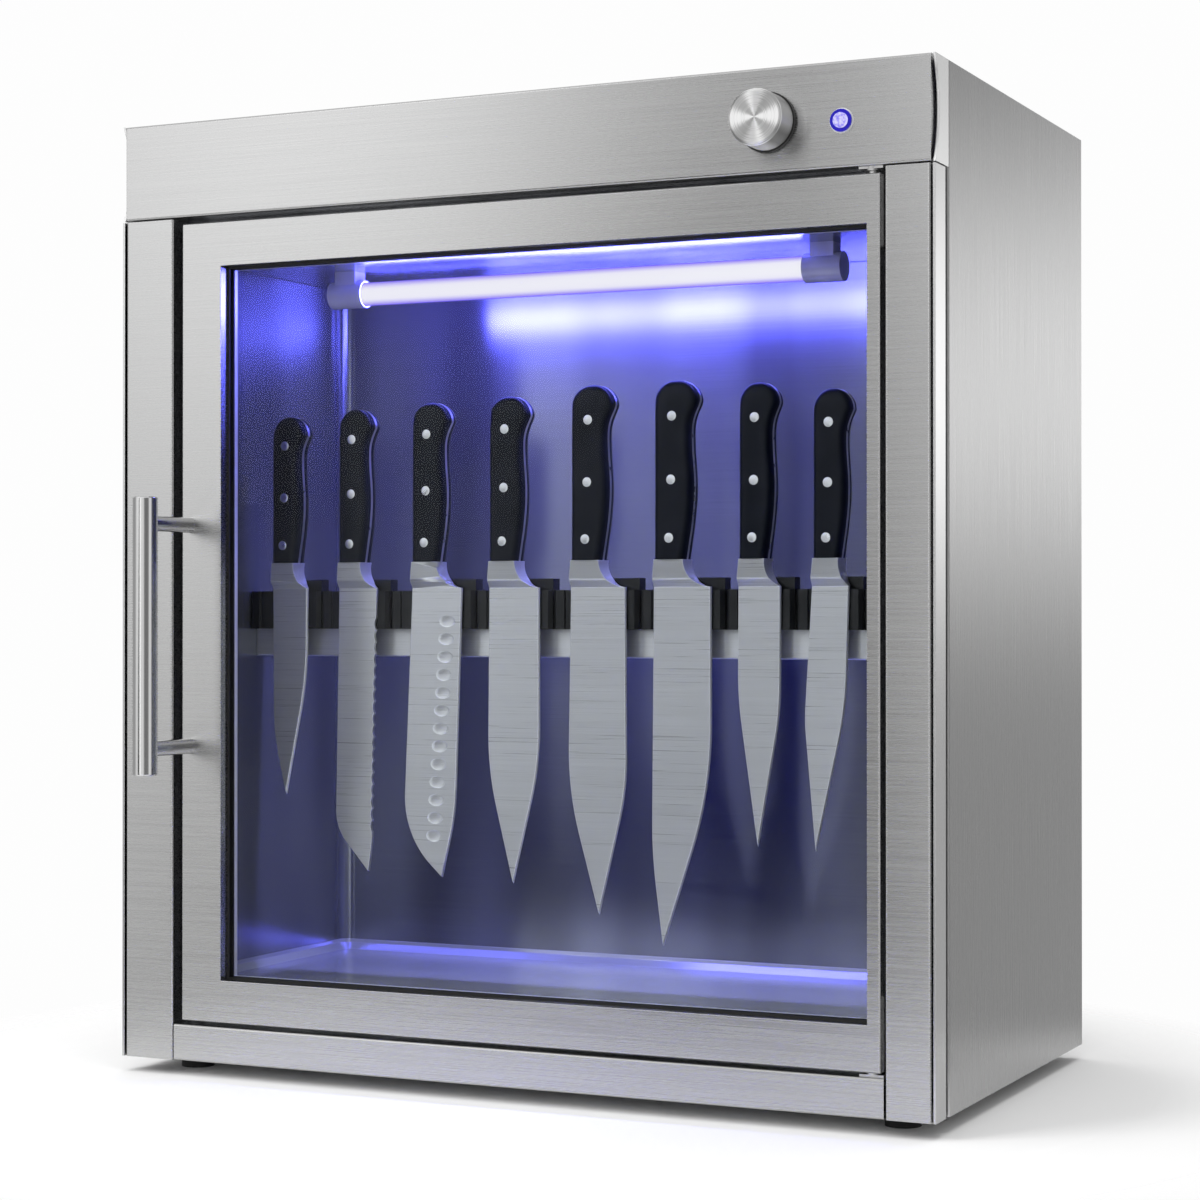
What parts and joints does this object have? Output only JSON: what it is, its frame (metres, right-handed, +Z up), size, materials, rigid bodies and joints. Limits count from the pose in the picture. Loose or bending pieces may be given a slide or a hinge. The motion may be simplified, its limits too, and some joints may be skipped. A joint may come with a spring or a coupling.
{
  "type": "ultraviolet knife sterilizer cabinet",
  "caption": "Stainless steel ultraviolet sterilizer cabinet with a hinged glass door, timer knob, lamp tube and a magnetic rack of hanging kitchen knives.",
  "frame": {"origin": "centre of the footprint of the whole part, handle included, on the plane that the feet stand on", "axes": "+Z up, +X to the right seen from the front, +Y from the door towards the back"},
  "size_m": [0.567, 0.38, 0.63],
  "materials": {
    "casing_steel": "brushed vertically and along the header",
    "polished_steel": "bright polished",
    "chamber_steel": "satin, reflective",
    "galvanised_steel": "plain, not seen in use",
    "black_rubber": "matt",
    "grey_seal": "matt",
    "door_glass": "clear, slightly green",
    "lamp_quartz": "clear quartz, glowing violet-blue",
    "lamp_metal": "satin",
    "holder_plastic": "moulded, light grey",
    "knob_metal": "spun face, bright chamfer",
    "black_plastic": "fine grain",
    "chrome": "polished",
    "pilot_lens": "translucent blue",
    "pivot_steel": "bright",
    "bush_plastic": "acetal",
    "magnet": "ferrite",
    "knife_steel": "satin ground, bright edge",
    "knife_handle": "fine satin black",
    "ballast_paint": "white enamel",
    "terminal_plastic": "natural nylon",
    "timer_case": "zinc plated"
  },
  "bodies": {
    "cabinet": {"left_side_panel": "casing_steel", "right_side_panel": "casing_steel", "top_panel": "casing_steel", "base_pan": "galvanised_steel", "back_panel": "galvanised_steel", "service_cover": "galvanised_steel", "inlet_plate": "galvanised_steel", "left_stile": "casing_steel", "right_stile": "casing_steel", "frame_sides": "polished_steel", "bottom_rail": "casing_steel", "control_fascia": "casing_steel", "fascia_end_caps": "polished_steel", "frame_gasket": "black_rubber", "rebate_frame": "chamber_steel", "liner_wrap": "chamber_steel", "liner_floor": "chamber_steel", "liner_ceiling": "chamber_steel", "lamp_tube": "lamp_quartz", "lamp_caps": "lamp_metal", "lamp_holders": "holder_plastic", "rack_blocks": "black_plastic", "rack_magnets": "magnet", "rack_strip": "polished_steel", "hinge_pivots": "pivot_steel", "timer_body": "timer_case", "pilot_bezel": "chrome", "pilot_lens": "pilot_lens", "ballast": "ballast_paint", "terminal_block": "terminal_plastic", "mains_inlet": "black_plastic", "feet": "black_rubber"},
    "door": {"door_skin": "casing_steel", "door_glass": "door_glass", "glass_gasket": "black_rubber", "door_backing": "chamber_steel", "door_seal": "grey_seal", "handle_bar": "polished_steel", "handle_posts": "polished_steel", "hinge_bushes": "bush_plastic"},
    "knob": {"timer_shaft": "pivot_steel", "timer_knob": "knob_metal", "knob_skirt": "black_plastic"},
    "utility_knife": {"utility_knife_blade": "knife_steel", "utility_knife_handle": "knife_handle"},
    "bread_knife": {"bread_knife_blade": "knife_steel", "bread_knife_handle": "knife_handle"},
    "santoku_knife": {"santoku_knife_blade": "knife_steel", "santoku_knife_handle": "knife_handle"},
    "carving_knife": {"carving_knife_blade": "knife_steel", "carving_knife_handle": "knife_handle"},
    "chef_knife": {"chef_knife_blade": "knife_steel", "chef_knife_handle": "knife_handle"},
    "large_chef_knife": {"large_chef_knife_blade": "knife_steel", "large_chef_knife_handle": "knife_handle"},
    "boning_knife": {"boning_knife_blade": "knife_steel", "boning_knife_handle": "knife_handle"},
    "slicing_knife": {"slicing_knife_blade": "knife_steel", "slicing_knife_handle": "knife_handle"}
  },
  "joints": [
    {"name": "door_hinge", "type": "hinge", "parent": "cabinet", "child": "door", "pos_m": [0.2437, -0.125, 0.3005], "axis": [0, 0, 1], "range_deg": [0, 105]},
    {"name": "timer_turn", "type": "hinge", "parent": "cabinet", "child": "knob", "pos_m": [0.1795, -0.143, 0.597], "axis": [0, 1, 0], "range_deg": [0, 300]},
    {"name": "utility_knife_off", "type": "slide", "parent": "cabinet", "child": "utility_knife", "axis": [0, -1, 0], "range_m": [0, 0.04]},
    {"name": "bread_knife_off", "type": "slide", "parent": "cabinet", "child": "bread_knife", "axis": [0, -1, 0], "range_m": [0, 0.04]},
    {"name": "santoku_knife_off", "type": "slide", "parent": "cabinet", "child": "santoku_knife", "axis": [0, -1, 0], "range_m": [0, 0.04]},
    {"name": "carving_knife_off", "type": "slide", "parent": "cabinet", "child": "carving_knife", "axis": [0, -1, 0], "range_m": [0, 0.04]},
    {"name": "chef_knife_off", "type": "slide", "parent": "cabinet", "child": "chef_knife", "axis": [0, -1, 0], "range_m": [0, 0.04]},
    {"name": "large_chef_knife_off", "type": "slide", "parent": "cabinet", "child": "large_chef_knife", "axis": [0, -1, 0], "range_m": [0, 0.04]},
    {"name": "boning_knife_off", "type": "slide", "parent": "cabinet", "child": "boning_knife", "axis": [0, -1, 0], "range_m": [0, 0.04]},
    {"name": "slicing_knife_off", "type": "slide", "parent": "cabinet", "child": "slicing_knife", "axis": [0, -1, 0], "range_m": [0, 0.04]}
  ]
}
